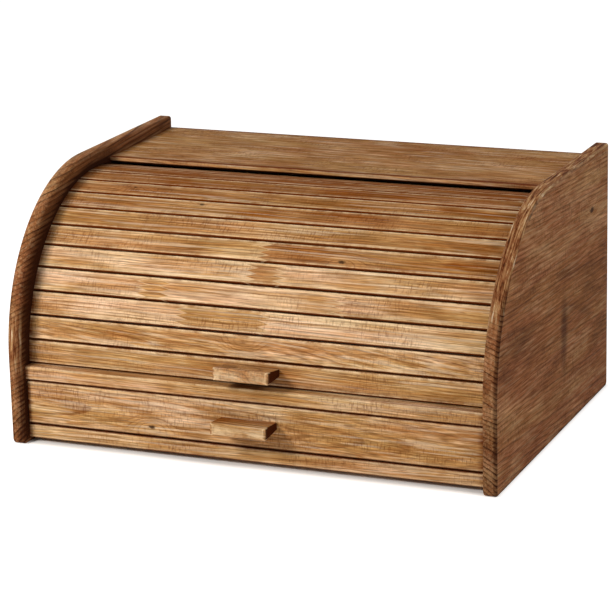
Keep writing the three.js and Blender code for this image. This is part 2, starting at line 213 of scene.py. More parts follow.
def pine_layers(wild):
    """Layers of noise in the pine: what each lies on, its counts per metre along and across the grain, its
    detail, roughness and distortion, the noise that counts as none of it and as all of it, and how much all
    of it is."""
    return {
        # Fibre is drawn about 0.8 mm wide, many times as coarse as real fibre, so that it shows
        "fibre": ("bent", 24 * wild, 1250, 2, 0.5, 0, 0.36, 0.64, 1),
        "streak": ("bent", 6, 600, 3, 0.6, 0, 0.34, 0.66, 1),
        # Resin ducts and torn fibre: short dark dashes
        "dash": ("bent", 60, 1300, 2, 0.5, 0, 0.60, 0.72, 1),
        # Hard ridges of grain shed the stain: pale lines about 0.6 mm wide and 10 to 20 cm long
        "ridge": ("bent", 4, 420, 2, 0.4, 0, 0.56, 0.66, 0.33),
        "cloud": ("place", 14, 38, 4, 0.6, 0, 0.34, 0.68, 1),
        # Stain that stands on a strip of harder wood shows as fine ticks across the grain
        "tick": ("place", 800, 190, 2, 0.5, 0, 0.50, 0.66, 1),
        "strip": ("place", 16, 50, 1, 0.5, 0.4, 0.40, 0.62, 1),
        # The stain breaks into a redder and a more golden brown
        "warm": ("place", 6, 45, 3, 0.5, 0, 0.38, 0.62, 1),
    }


def past_joint(add, mark):
    """Place in the log, tone of the stain, and seam of a finger joint: past its zigzag line the slat goes
    on with another stick, shifted in the log and darker. The line is where the distance past the joint,
    plus 3.8 times a triangle wave of the place across the grain, is zero."""
    place = mark["wood"]["Vector"]
    zigzag = add("Math PINGPONG", [add("SeparateXYZ", [place]).outputs["Y"], 2.4 * MM])
    reached = add("Math MULTIPLY_ADD", [zigzag, 3.8, mark["joint"]["Fac"]])
    beyond = add("Math GREATER_THAN", [reached, 0])
    seam = add("Math COMPARE", [reached, 0, 1.3 * MM])
    step = add("VectorMath SCALE", {0: (0.31, 0.013, 0.007), "Scale": beyond})
    place = add("VectorMath ADD", [place, step])
    tone = add("Math MULTIPLY_ADD", [beyond, 0.26, mark["tone"]["Fac"]])
    return place, tone, seam


def knot_distance(add, ground, mark):
    """Distance from the middle of the knot, halved along the grain, with a ragged rim."""
    near = add("VectorMath MULTIPLY", [mark["knot"]["Vector"], (0.5, 1, 0)])
    near = add("VectorMath LENGTH", [near])
    ragged = add("TexNoise", {"Vector": ground, "Scale": 420, "Detail": 3})
    return add("Math MULTIPLY_ADD", [ragged, 1.6 * MM, near])


def glued_up(add, ground, place, tone, width):
    """Place in the log and tone of the stain in a wide panel that is glued up from boards of a width, each
    from another part of the log and stained a little differently."""
    course = add("Math DIVIDE", [add("SeparateXYZ", [ground]).outputs["Z"], width])
    course = add("Math FLOOR", [course])
    step = add("VectorMath SCALE", {0: (0.23, -0.55 * width, 0.009), "Scale": course})
    place = add("VectorMath ADD", [place, step])
    other = add("Math PINGPONG", [course, 1])
    return place, add("Math MULTIPLY_ADD", [other, 0.16, tone])


def growth_rings(add, bent, swell, spacing):
    """Dark of the late wood: a ramp across each ring about the pith, times the ring's own strength."""
    flat = add("VectorMath MULTIPLY", [bent, (0, 1, 1)])
    radius = add("Math ADD", [add("VectorMath LENGTH", [flat]), swell])
    rings = add("Math DIVIDE", [radius, spacing])
    strength = add("TexWhiteNoise", {"W": add("Math FLOOR", [rings])}, noise_dimensions="1D")
    strength = add("MapRange", {0: strength, 3: 0.35, 4: 1})
    dark = add("ValToRGB", [add("Math FRACT", [rings])],
               stops=[(0, 0.1), (0.4, 0), (0.72, 0.4), (0.87, 1), (0.96, 0.9), (1, 0.1)])
    return add("Math MULTIPLY", [dark, strength])


def shoulder_fibres(add, colours, late):
    """Share and colour of the long golden and dark fibres along the edge of the round shoulder. They are
    drawn 2 mm wide, many times as coarse as real fibre, so that they show."""
    shoulder = add("Attribute", attribute_name="shoulder").outputs["Vector"]
    fibres = add("VectorMath MULTIPLY", [shoulder, (48, 520, 0)])
    fibres = add("TexNoise", {"Vector": fibres, "Scale": 1, "Detail": 5, "Roughness": 0.66,
                              "Distortion": 0.3})
    fibres = add("ValToRGB", [fibres], stops=[(0.38, late), (0.43, colours.late), (0.51, colours.panel),
                                              (0.59, colours.honey), (0.68, colours.light)])
    share = add("Math MULTIPLY", [add("SeparateXYZ", [shoulder]).outputs["Z"], 0.85])
    return share, fibres


def stained_pine(add, colours, spacing, stains, late, courses=0.0, turned=None, worn=0.7, figure=0.6,
                 wild=1.0, grain=1.0, run=None):
    """Pine, planed, rubbed with an oil stain and thinly waxed. To the eye: golden early wood between the
    dark lines of the growth rings, fine bright and dark fibre along the grain, stain that lies deeper in
    clouds and streaks and soaks into end grain, a low satin gloss, and paler wood where arrises are rubbed.
    A piece of the solid model has no marks of its own, and its wood is turned instead."""
    ground = add("TexCoord").outputs["Object"]
    if turned is None:
        mark = {key: add("Attribute", attribute_name=key).outputs
                for key in ("wood", "tone", "wear", "end", "knot", "joint")}
        place, tone, seam = past_joint(add, mark)
        knot = knot_distance(add, ground, mark)
        # Rings part and flow round a knot
        swell = add("MapRange", [knot, 0, 13 * MM, 8.5 * MM, 0], interpolation_type="SMOOTHSTEP")
    else:
        place = add("Mapping", {"Vector": ground, "Rotation": turned, "Location": (0.13, 0.041, 0.052)})
        tone, swell = 0.45, 0
    if courses:
        place, tone = glued_up(add, ground, place, tone, courses)
    # The rings wander a little along the log, by millimetres over tens of millimetres
    bent = place
    for along, across, detail, shift in ((5, 22, 2, 5 * MM), (24, 150, 3, 1.4 * MM * wild)):
        waves = add("VectorMath MULTIPLY", [place, (along, across, across)])
        waves = add("TexNoise", {"Vector": waves, "Scale": 1, "Detail": detail}).outputs["Color"]
        bent = add("VectorMath MULTIPLY_ADD", [waves, (0, shift, shift), bent])
    ring = growth_rings(add, bent, swell, spacing)
    bases = {"place": place, "bent": bent}
    layer = {}
    for name, (base, along, across, detail, rough, distortion, none, full, most) in pine_layers(wild).items():
        noise = add("VectorMath MULTIPLY", [bases[base], (along, across, across)])
        noise = add("TexNoise", {"Vector": noise, "Scale": 1, "Detail": detail, "Roughness": rough,
                                 "Distortion": distortion})
        layer[name] = add("MapRange", [noise, none, full, 0, most])
    # How deep the stain lies: the stick's own tone, clouds and streaks
    depth = add("Math MULTIPLY_ADD", [layer["cloud"], 0.44, -0.36])
    depth = add("Math MULTIPLY_ADD", [layer["streak"], 0.36, depth])
    depth = add("Math ADD", [depth, tone])
    wood = add("ValToRGB", [depth], stops=list(zip((0.0, 0.48, 1.0), stains)))
    tint = add("Mix", {0: layer["warm"], 6: colours.golden_cast, 7: colours.red_cast}, data_type="RGBA")
    wood = add("Mix", {0: 1, 6: wood, 7: tint}, data_type="RGBA", blend_type="MULTIPLY")
    if run:
        # Cut across, the rings stand out more
        edge = add("Attribute", attribute_name="edge").outputs["Fac"]
        figure = add("Math MULTIPLY_ADD", [edge, 0.35, figure])
    late_share = add("Math MULTIPLY", [ring, figure])
    wood = add("Mix", {0: late_share, 6: wood, 7: late}, data_type="RGBA")
    shade = add("MapRange", {0: layer["fibre"], 3: 1 - 0.34 * grain, 4: 1 + 0.3 * grain})
    wood = add("VectorMath SCALE", {0: wood, "Scale": shade})
    tick = add("Math MULTIPLY", [layer["tick"], layer["strip"]])
    dark = add("Math MAXIMUM", [layer["dash"], tick])
    # What lies over the stained wood, each a share and its colour, from the lowest up
    coats = [(layer["ridge"], stains[0]), (add("Math MULTIPLY", [dark, 0.46]), late)]
    if run:
        coats.append(shoulder_fibres(add, colours, late))
    if turned is None:
        # End grain drinks the stain, most of all in the late wood. The same mark also draws painted shade as
        # dark stain in the joints and grooves, in the corners by the side panels, and low on the panels'
        # inner faces
        soak_and_shade = add("Math MULTIPLY_ADD", [ring, 0.40, 0.42])
        soak_and_shade = add("Math MULTIPLY_ADD", [layer["cloud"], 0.20, soak_and_shade])
        soak_and_shade = add("Math MULTIPLY", [soak_and_shade, mark["end"]["Fac"]], use_clamp=True)
        coats.append((soak_and_shade, late))
        if run:
            # A run of stain dried dark: an upright egg shape, soft at its rim
            spot = add("VectorMath SUBTRACT", [ground, run])
            spot = add("VectorMath MULTIPLY", [spot, (20, 90, 24)])
            spot = add("VectorMath LENGTH", [spot])
            coats.append((add("MapRange", [spot, 0.3, 1, 0.62, 0]), late))
        heart = add("SeparateXYZ", [mark["knot"]["Vector"]]).outputs["Z"]
        heart = add("Math DIVIDE", [knot, heart])
        heart = add("MapRange", [heart, 0.9, 2, 0.93, 0], interpolation_type="SMOOTHSTEP")
        seam = add("Math MULTIPLY", [seam, 0.26])
        # Rubbing lays the wood bare in patches about 10 mm across
        patch = add("TexNoise", {"Vector": ground, "Scale": 95, "Detail": 5, "Roughness": 0.7})
        patch = add("MapRange", [patch, 0.38, 0.60, 0.25, 1.1])
        bare = add("Math MULTIPLY", [patch, mark["wear"]["Fac"]])
        bare = add("Math MULTIPLY", [bare, worn], use_clamp=True)
        coats += [(heart, colours.knot), (seam, colours.worn), (bare, colours.worn)]
    for share, coat in coats:
        wood = add("Mix", {0: share, 6: wood, 7: coat}, data_type="RGBA")
    relief = add("Math SUBTRACT", [layer["fibre"], dark])
    relief = add("Math MULTIPLY_ADD", [ring, 0.5, relief])
    bump = add("Bump", {"Height": relief, "Strength": 0.6, "Distance": 0.4 * MM})
    rough = add("MapRange", {0: layer["fibre"], 3: 0.72, 4: 0.56})
    return add("BsdfPrincipled", {"Base Color": wood, "Roughness": rough, "Normal": bump, "IOR": 1.5,
                                  "Specular IOR Level": 0.02})


def birch_plywood(add, colours):
    """Birch plywood, rotary cut and sanded bare: pale, with a broad faint figure and short dark flecks."""
    ground = add("TexCoord").outputs["Object"]
    bend = add("TexNoise", {"Vector": ground, "Scale": 7, "Detail": 3}).outputs["Color"]
    bent = add("VectorMath MULTIPLY_ADD", [bend, (0, 0.02, 0.06), ground])
    # The knife cuts along the rings, so that they show as broad flowing bands with fine lines in them
    figure = add("VectorMath MULTIPLY", [bent, (3, 55, 55)])
    figure = add("TexNoise", {"Vector": figure, "Scale": 1, "Detail": 7, "Roughness": 0.66})
    figure = add("MapRange", [figure, 0.36, 0.64])
    # Vessels, drawn about 1 mm wide, many times the real width, so that they show
    fleck = add("VectorMath MULTIPLY", [bent, (70, 1100, 1100)])
    fleck = add("MapRange", [add("TexNoise", {"Vector": fleck, "Scale": 1}), 0.52, 0.70, 0, 0.5])
    wood = add("Mix", {0: figure, 6: at_level(colours.plywood, 0.72), 7: at_level(colours.plywood, 1.2)},
               data_type="RGBA")
    wood = add("Mix", {0: fleck, 6: wood, 7: colours.plywood_fleck}, data_type="RGBA")
    bump = add("Bump", {"Height": fleck, "Strength": 0.3, "Distance": 0.2 * MM})
    return add("BsdfPrincipled", {"Base Color": wood, "Roughness": 0.7, "Normal": bump,
                                  "Specular IOR Level": 0.3})


def bare_beech(add, colours):
    """Beech, turned to dowels and bare: even and pale, with fine short rays."""
    place = add("VectorMath MULTIPLY", [add("TexCoord").outputs["Object"], (200, 1500, 1500)])
    ray = add("TexNoise", {"Vector": place, "Scale": 1})
    wood = add("Mix", {0: ray, 6: at_level(colours.beech, 0.7), 7: colours.beech}, data_type="RGBA")
    return add("BsdfPrincipled", {"Base Color": wood, "Roughness": 0.65})


def cotton_canvas(add, colours):
    """Cotton canvas in plain weave: soft and matt, its threads drawn 1.2 mm apart, twice the real spacing,
    so that they show."""
    ground = add("TexCoord").outputs["Object"]
    # A wave texture of scale one has 20 bands in a turn's length, 6.28 m
    scale = math.tau / (20 * 1.2 * MM)
    warp, weft = (add("TexWave", {"Vector": ground, "Scale": scale}, bands_direction=way).outputs["Fac"]
                  for way in "XZ")
    weave = add("Math MULTIPLY", [warp, weft])
    cloth = add("Mix", {0: weave, 6: at_level(colours.canvas, 0.62), 7: colours.canvas}, data_type="RGBA")
    bump = add("Bump", {"Height": weave, "Strength": 0.5, "Distance": 0.4 * MM})
    return add("BsdfPrincipled", {"Base Color": cloth, "Roughness": 0.9, "Normal": bump, "Sheen Weight": 0.3})


def zinc_steel(add, colours):
    """Steel, zinc plated: bright grey metal with a faint cloudy gloss."""
    spangle = add("TexNoise", {"Vector": add("TexCoord").outputs["Object"], "Scale": 700, "Detail": 3})
    rough = add("MapRange", {0: spangle, 3: 0.25, 4: 0.45})
    return add("BsdfPrincipled", {"Base Color": colours.zinc, "Metallic": 1, "Roughness": rough})


def sees_white(add):
    """One for the rays that see the background white: the camera's, and those that metal and glass send."""
    paths = add("LightPath").outputs
    seen = add("Math MAXIMUM", [paths["Is Camera Ray"], paths["Is Transmission Ray"]])
    return add("Math MAXIMUM", [seen, paths["Is Glossy Ray"]])


def floor_paper(add, colours, glow):
    """Matt paper that glows white to the camera, but for a patch the shape of the box's footprint, where
    the glow is cut off so that the floor shows its shadow: painted shade under the box.
    """
    spot = add("VectorMath SUBTRACT", [add("TexCoord").outputs["Object"], (0, (FRONT + BACK) / 2, 0)])
    spot = add("VectorMath ABSOLUTE", [spot])
    spot = add("VectorMath SUBTRACT", [spot, (PANEL_OUT, (BACK - FRONT) / 2, 0)])
    past = add("SeparateXYZ", [spot]).outputs
    past = add("Math MAXIMUM", [past["X"], past["Y"]])
    # Painted shade: no glow 8 mm inside the box's footprint, full glow 3 mm outside it
    clear = add("MapRange", [past, -8 * MM, 3 * MM, 0, glow])
    white = add("Math MULTIPLY", [sees_white(add), clear])
    white = add("Emission", {"Color": (1, 1, 1), "Strength": white})
    return add("AddShader", [add("BsdfDiffuse", {"Color": colours.floor}), white])


def even_sky(add, strength):
    """Even light from all round, in front of a white background."""
    level = add("Mix", {0: sees_white(add), 2: strength, 3: 1}, data_type="FLOAT")
    return add("Background", {"Color": (1, 1, 1), "Strength": level})


# Surfaces

def rounded_outline(corners, radii, flats=5, near=(0.8, 2.0, 4.5, 9.0)):
    """Convex outline through the corners, counter-clockwise, in the plane of Y and Z: at each corner an arc
    of its radius, tangent to both sides, and on each side points at the given distances in millimetres from
    its arcs. Returns the points, their outward normals, and their distances from the nearest arc."""
    corner = np.asarray(corners, float)
    radius = np.broadcast_to(np.asarray(radii, float), len(corner))
    before, after = np.roll(corner, 1, 0) - corner, np.roll(corner, -1, 0) - corner
    before /= np.linalg.norm(before, axis=1)[:, None]
    after /= np.linalg.norm(after, axis=1)[:, None]
    half = np.arccos(np.clip((before * after).sum(1), -1, 1)) / 2
    reach = (radius / np.tan(half))[:, None]
    start, end = corner + before * reach, corner + after * reach
    middle = before + after
    centre = corner + middle / np.linalg.norm(middle, axis=1)[:, None] * (radius / np.sin(half))[:, None]
    first = np.arctan2(before[:, 0], -before[:, 1])
    sweep = (np.arctan2(-after[:, 0], after[:, 1]) - first) % math.tau
    angle = first[:, None] + sweep[:, None] * np.linspace(0, 1, flats + 1)
    arc_normal = np.stack([np.cos(angle), np.sin(angle)], -1)
    arc = centre[:, None] + radius[:, None, None] * arc_normal
    run = np.roll(start, -1, 0) - end
    span = np.linalg.norm(run, axis=1)
    # On a short side the points keep their order, at shares of it
    share = np.minimum(np.asarray(near) * MM / span[:, None], 0.22 + 0.06 * np.arange(len(near)))
    share = np.concatenate([share, np.full((len(corner), 1), 0.5), 1 - share[:, ::-1]], 1)
    side = end[:, None] + run[:, None] * share[:, :, None]
    side_normal = np.broadcast_to(arc_normal[:, -1:], side.shape)
    distance = np.concatenate([np.zeros(angle.shape), np.minimum(share, 1 - share) * span[:, None]], 1)
    points = np.concatenate([arc, side], 1).reshape(-1, 2)
    normals = np.concatenate([arc_normal, side_normal], 1).reshape(-1, 2)
    return points, normals, distance.ravel()


def skin(name, grid, marks, node, body, kind):
    """Closed surface over a grid of rings of points: quads between the rings, and the first and last ring
    filled. Each mark is a value for every point, kept as an attribute of its name. The surface stands for
    the solid model's node, moves with its body and wears the material of its kind."""
    rings, count = grid.shape[:2]
    index = np.arange(rings * count).reshape(rings, count)
    beside = np.roll(index, -1, 1)
    quads = np.stack([index[:-1], beside[:-1], beside[1:], index[1:]], -1).reshape(-1, 4)
    faces = [*quads.tolist(), index[0, ::-1].tolist(), index[-1].tolist()]
    mesh = bpy.data.meshes.new(name)
    mesh.from_pydata(grid.reshape(-1, 3).tolist(), [], faces)
    for key, value in marks.items():
        value = np.asarray(value, np.float32)
        vector = value.ndim == 3
        attribute = mesh.attributes.new(key, "FLOAT_VECTOR" if vector else "FLOAT", "POINT")
        attribute.data.foreach_set("vector" if vector else "value", value.ravel())
    work = bmesh.new()
    work.from_mesh(mesh)
    bmesh.ops.remove_doubles(work, verts=work.verts, dist=SAME_PLACE)
    work.to_mesh(mesh)
    work.free()
    mesh.shade_smooth()
    mesh.set_sharp_from_angle(angle=SHARP)
    mesh.update()
    mesh.materials.append(finish(kind))
    piece = bpy.data.objects.new(name, mesh)
    bpy.context.scene.collection.objects.link(piece)
    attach(piece, body)
    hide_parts(node)


def slope(value, start, run):
    """Zero up to the start, one from the run beyond it, and a straight line between."""
    return np.clip((value - start) / run, 0, 1)


def corner_stain_and_shade(along, corner):
    """How dark the corner at either end of a board is drawn: stain that stands there, and painted shade by
    the side panel. All at the corner, none from 3 mm off it on the left and 6 mm on the right, where the
    painted shade is wider."""
    return np.clip((np.abs(along) - corner) / np.where(along < 0, 3 * MM, 6 * MM) + 1, 0, 1) * 1.5


def rubbed(distance, width):
    """Wear of an arris: the exponential of minus the distance from it over the width in millimetres."""
    return np.exp(-distance / (width * MM))


class Stick:
    """How one piece of wood was cut: how dark it took the stain, where its pith lies, in millimetres from
    the piece, how it leans along the grain, the place of a knot with the radius of its heart, the places of
    the finger joints that bound other sticks in it, how much painted shade darkens it toward its right end,
    away from the light, and how many metres along the log it was cut."""

    def __init__(self, tone, pith, lean=(0.0, 0.0), knot=None, joints=(), shade_to_right=0.0, seed=0.0):
        self.tone, self.pith, self.lean, self.seed = tone, pith, lean, seed
        self.knot, self.joints, self.shade_to_right = knot, joints, shade_to_right

    def marks(self, along, across, deep, wear, end):
        """Attributes for points given by their distances along the grain, across it and into the wood."""
        pith_across, pith_deep = np.array(self.pith) * MM
        wood = np.stack([along + self.seed, across + pith_across + self.lean[0] * along,
                         deep + pith_deep + self.lean[1] * along], -1)
        whole = np.ones(along.shape)
        knot = np.stack([FAR * whole, FAR * whole, MM * whole], -1)
        if self.knot:
            middle, height, radius = np.array(self.knot) * MM
            knot = np.stack([along - middle, across - height, radius * whole], -1)
        joint = -FAR * whole
        for start, stop in self.joints:
            joint = np.maximum(joint, np.minimum(along - start * MM, stop * MM - along))
        # Painted shade: the stick is drawn darker toward its right end, away from the key light
        tone = self.tone + self.shade_to_right * np.clip(along / PANEL_IN, 0, 1)
        return {"wood": wood, "tone": tone, "wear": wear * whole, "end": end * whole, "knot": knot,
                "joint": joint}


def carried(points, along):
    """Profile in the plane of Y and Z carried along X: a ring of its points at each place along X."""
    shape = (len(along), len(points))
    across = np.broadcast_to(along[:, None, None], (*shape, 1))
    return np.concatenate([across, np.broadcast_to(points, (*shape, 2))], -1)


FINISHES = {}


def finish(kind):
    """The material of a kind, made once."""
    if kind not in FINISHES:
        scene = bpy.context.scene
        colours, rings = scene.bread_box_colours, scene.bread_box_sizes.ring_spacing
        honey = {"spacing": rings, "stains": (colours.light, colours.honey, colours.deep),
                 "late": colours.late}
        walnut = {"spacing": 1.5 * rings, "stains": (colours.panel_light, colours.panel, colours.panel_deep),
                  "late": colours.panel_late, "courses": 69 * MM, "worn": 0.6, "figure": 0.65, "wild": 0.5,
                  "grain": 0.65, "run": (PANEL_OUT, 30 * MM, 80 * MM)}
        kinds = {
            "slat": ("pine, honey oil stain", stained_pine, honey),
            "pull": ("pine pull, honey oil stain", stained_pine, {**honey, "late": colours.pull_end}),
            "panel": ("pine panel, walnut oil stain", stained_pine, walnut),
            "across": ("pine drawer back, honey oil stain", stained_pine, {**honey, "turned": (0, 0, 0)}),
            "lengthwise": ("pine drawer side, honey oil stain", stained_pine,
                           {**honey, "turned": (0, 0, math.radians(90))}),
            "plywood": ("birch plywood, sanded", birch_plywood, {}),
            "beech": ("beech, turned", bare_beech, {}),
            "canvas": ("cotton canvas, plain weave", cotton_canvas, {}),
            "zinc": ("steel, zinc plated", zinc_steel, {}),
        }
        name, draw, settings = kinds[kind]
        FINISHES[kind] = dress(bpy.data.materials.new(name), draw, colours=colours, **settings)
    return FINISHES[kind]


def wear_solid(prefixes, kind):
    """Gives the solid model's own pieces whose names start so the material of a kind."""
    for name, piece in frame["nodes"].items():
        if name.startswith(prefixes):
            piece.data.materials.clear()
            piece.data.materials.append(finish(kind))


# Pieces

def panel_rays(sizes, rebate_y, rebate_z):
    """Points of a side panel's outline in the order of their bearings from the curtain's axis, their outward
    normals, the bearings, and which of them cross the groove and the rebate."""
    foot = sizes.foot_radius
    corners = [(FRONT, 0), (BACK, 0), (BACK, TOP), (FRONT, TOP)]
    radii = [foot, foot, 2.5 * MM, sizes.shoulder_radius]
    points, normals = rounded_outline(corners, radii, flats=44, near=(3, 8, 16, 30, 50))[:2]
    bearing = np.arctan2(points[:, 1] - AXIS_Z, points[:, 0] - AXIS_Y)
    bearing = (bearing + math.pi / 2) % math.tau - math.pi / 2
    order = np.argsort(bearing)
    bearing, table = bearing[order], np.concatenate([points, normals], 1)[order]
    rebate_end = math.atan2(rebate_z - AXIS_Z, BACK - AXIS_Y)
    ends = [GROOVE_FROM - TINY, GROOVE_FROM, GROOVE_TO, GROOVE_TO + TINY, rebate_end, rebate_end + TINY]
    # The straight sides have few points, so rays are added where the slats' ends pass close to the groove
    extra = np.concatenate([ends, np.radians(np.arange(-18.1, 91, 2.5))])
    added = np.stack([np.interp(extra, bearing, column) for column in table.T], -1)
    bearing = np.concatenate([bearing, extra])
    order = np.argsort(bearing)
    bearing, table = bearing[order], np.concatenate([table, added])[order]
    grooved = (bearing >= GROOVE_FROM - TINY / 2) & (bearing <= GROOVE_TO + TINY / 2)
    behind = (table[:, 0] > rebate_y) & (bearing <= rebate_end + TINY / 2)
    return table[:, :2], table[:, 2:], bearing, grooved, behind


def panel_surface(sizes, sign, edge_stain_and_shade):
    """Side panel as rings about the curtain's axis, from the middle of its inner face, across the groove,
    over the inner arris, the edge and the outer arris, to the outer face. Along each ray the outline is the
    rounded rectangle with the quarter-round shoulder. The groove is a step in depth between two radii and
    two angles, drawn in where the edge is near; the rebate for the back panel is a step at the rear. An
    arris is a quarter circle of inset and depth. A ring drawn in by an inset stays that far inside the
    rectangle, so it can't cross itself. How dark the edge is drawn across, as stain and as painted shade
    along the arrises and toward the foot, is given from the inner arris."""
    rebate_y, rebate_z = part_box("back_panel")[0].y - PLAY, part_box("top_board")[0].z
    outline, normal, bearing, grooved, behind = panel_rays(sizes, rebate_y, rebate_z)
    height, none = outline[:, 1], np.zeros(len(bearing))
    arris = sizes.panel_arris

    def drawn_in(inset):
        inset = np.broadcast_to(inset, bearing.shape)
        y, z = (outline - normal * inset[:, None]).T
        return np.stack([np.clip(y, FRONT + inset, BACK - inset), np.clip(z, inset, TOP - inset)], -1)

    def short_of_rebate(spot):
        return np.stack([np.where(behind, np.minimum(spot[:, 0], rebate_y), spot[:, 0]), spot[:, 1]], -1)

    # Rings from the middle out past the groove: radius, depth, and the stain that stands there, drawn near
    # black at the groove's rim as painted shade where the slats enter it
    ray = np.stack([np.cos(bearing), np.sin(bearing)], -1)
    centre = np.array([AXIS_Y, AXIS_Z])
    inner = CURTAIN_RADIUS - sizes.slat_thickness - sizes.groove_play
    rim = math.hypot(CURTAIN_RADIUS, sizes.slat_width / 2) + sizes.groove_play
    groove, lip = np.where(grooved, sizes.groove_depth, 0.0), 0.25 * MM
    brim = np.minimum(groove, lip)
    steps = [(55 * MM, none, 0), (inner - lip, none, 0), (inner, brim, 0.3), (inner, groove, 0.8),
             (rim, groove, 3.5), (rim, brim, 3.5), (rim + lip, none, 3.5), (rim + 2 * MM, none, 2.2)]
    # Where the edge is near, the rings keep half a millimetre between them
    limit = np.linalg.norm(short_of_rebate(drawn_in(6 * MM)) - centre, axis=1)
    rows = []
    for number, (radius, depth, amount) in enumerate(steps):
        radius = np.minimum(radius, limit - (len(steps) - number) * 0.5 * MM)
        rows.append((centre + ray * radius[:, None], depth, grooved * amount))
    # The stain is drawn deepest just above the foot, as painted shade low on the inner face, and thin along
    # the crest
    shade_by_height = np.clip(3.4 - height / (25 * MM), 1, 1.9) * np.clip(0.6 + height / (20 * MM), 0, 1)
    shade_by_height = shade_by_height * np.clip((215 * MM - height) / (40 * MM), 0.3, 1)
    # Painted shade as stain along the inner face next to its arris, deepest low down
    for inset, amount in ((6 * MM, 1.5), (3.2 * MM, 1.2), (2.3 * MM, 0.9)):
        rows.append((short_of_rebate(drawn_in(inset)), none, amount * shade_by_height))
    first = len(rows)
    # The inner arris, with the inset and depth that the rebate has in its place, 6 mm deep
    quarter = np.linspace(0, math.pi / 2, 6)
    rebate = np.array([(9, 0), (9, 6), (0.4, 6), (0.15, 6.1), (0, 6.3), (0, 6.6)]) * MM
    for turn, (back_inset, back_depth) in zip(quarter, rebate):
        inset = np.where(behind, back_inset, arris * (1 - math.sin(turn)))
        spot = drawn_in(inset)
        spot[:, 0] = np.where(behind & (inset > 1 * MM), rebate_y, spot[:, 0])
        depth = np.where(behind, back_depth, arris * (1 - math.cos(turn)))
        rows.append((spot, depth, edge_stain_and_shade[0] * shade_by_height))
    # The edge, where the rebate's rings lie past its depth
    # The edge is drawn darker toward the foot: painted shade
    fading = np.clip(1.9 - height / (80 * MM), 0.6, 1.9)
    for share, amount in zip((0.3, 0.5, 0.7), edge_stain_and_shade[1:]):
        depth = np.where(behind, np.maximum(share * THICK, 7 * MM), share * THICK)
        rows.append((outline, depth, amount * np.abs(normal[:, 0]) * fading))
    # Painted shade along the outer arris, fading out between 130 and 166 mm up
    fading = np.clip((170 * MM - height) / (40 * MM), 0.1, 1)
    for turn in quarter[::-1]:
        depth = THICK - arris * (1 - math.cos(turn)) + none
        rows.append((drawn_in(arris * (1 - math.sin(turn))), depth, edge_stain_and_shade[-1] * fading))
    last = len(rows)
    for inset, amount in ((2.3 * MM, 0.3), (3.2 * MM, 0), (6 * MM, 0), (20 * MM, 0)):
        rows.append((drawn_in(inset), THICK + none, amount + none))
    flat, depth, stain = (np.stack(part) for part in zip(*rows))
    grid = np.concatenate([(sign * (PANEL_IN + depth))[..., None], flat], -1)
    number = np.arange(len(rows))[:, None] + none
    edge = (number >= first) & (number < last)
    run = np.cumsum(np.linalg.norm(outline - np.roll(outline, 1, 0), axis=1)) + 0 * depth
    # Mirrored, the rings are turned over, so that the faces still look outward
    return [values[:, ::sign] for values in (grid, depth, edge, stain, run)]


class BREADBOX_OT_side_panels(bpy.types.Operator):
    """Builds the two side panels with their grooves, rebates and rounded arrises"""
    bl_idname = "breadbox.side_panels"
    bl_label = "Side panels"

    def execute(self, context):
        sizes = context.scene.bread_box_sizes
        # Each with the heights in millimetres between which its edge shows long fibres, how much its inner
        # arris is rubbed, how dark its edge is drawn across from the inner arris to the outer, as stain and
        # as painted shade along the arrises, and how much paler the outer half of its edge is
        sticks = {1: ("right", (118, 300), 0.1, (0.4, 0.42, 0.42, 0.42, 1.3), 0.0,
                      Stick(0.43, (30, 26), (0.05, 0.05), knot=(105, 160, 2.2), seed=2.0)),
                  -1: ("left", (50, 110), 0.15, (1.0, 0.85, 0.5, 0.0, 0.4), 0.4,
                       Stick(0.64, (22, 30), (-0.05, -0.04), seed=5.0))}
        for sign, (word, heights, rub, edge_stain_and_shade, pale, stick) in sticks.items():
            grid, depth, edge, stain, run = panel_surface(sizes, sign, edge_stain_and_shade)
            height, (low, high) = grid[..., 2], np.array(heights) * MM
            fibres = edge * slope(np.minimum(height - low, high - height), 0, 20 * MM)
            inner_arris, outer_arris = (np.exp(-((depth - middle * MM) / (0.5 * MM)) ** 2)
                                        for middle in (0.4, 10.6))
            # The outer arris along the crest is drawn pale: rubbed wood, and a painted highlight
            crest = edge * slope(height, 178 * MM, 20 * MM)
            wear = rub * fibres * inner_arris + 0.5 * crest * outer_arris
            marks = stick.marks(grid[..., 1], height, depth, wear, stain)
            # Where the outer half of the edge is pale, it is so above 27 mm, and least about 168 mm
            belt = np.clip(np.abs(height - 168 * MM) / (60 * MM), 0.1, 1)
            belt = np.clip(height / (90 * MM) - 0.3, 0, 1) * belt
            pale = pale * edge * belt * slope(depth, 4 * MM, 3 * MM)
            upper = edge * slope(height, 105 * MM, 60 * MM) - crest
            # The panels are drawn paler toward the top: a painted highlight of the light from above
            marks["tone"] = marks["tone"] - 0.14 * edge - 0.12 * height / TOP - pale + 0.13 * upper
            marks["edge"] = edge
            marks["shoulder"] = np.stack([run, depth, fibres], -1)
            skin(f"panel_{word}", grid, marks, f"side_panel_{word}", "cabinet", "panel")
        return {"FINISHED"}


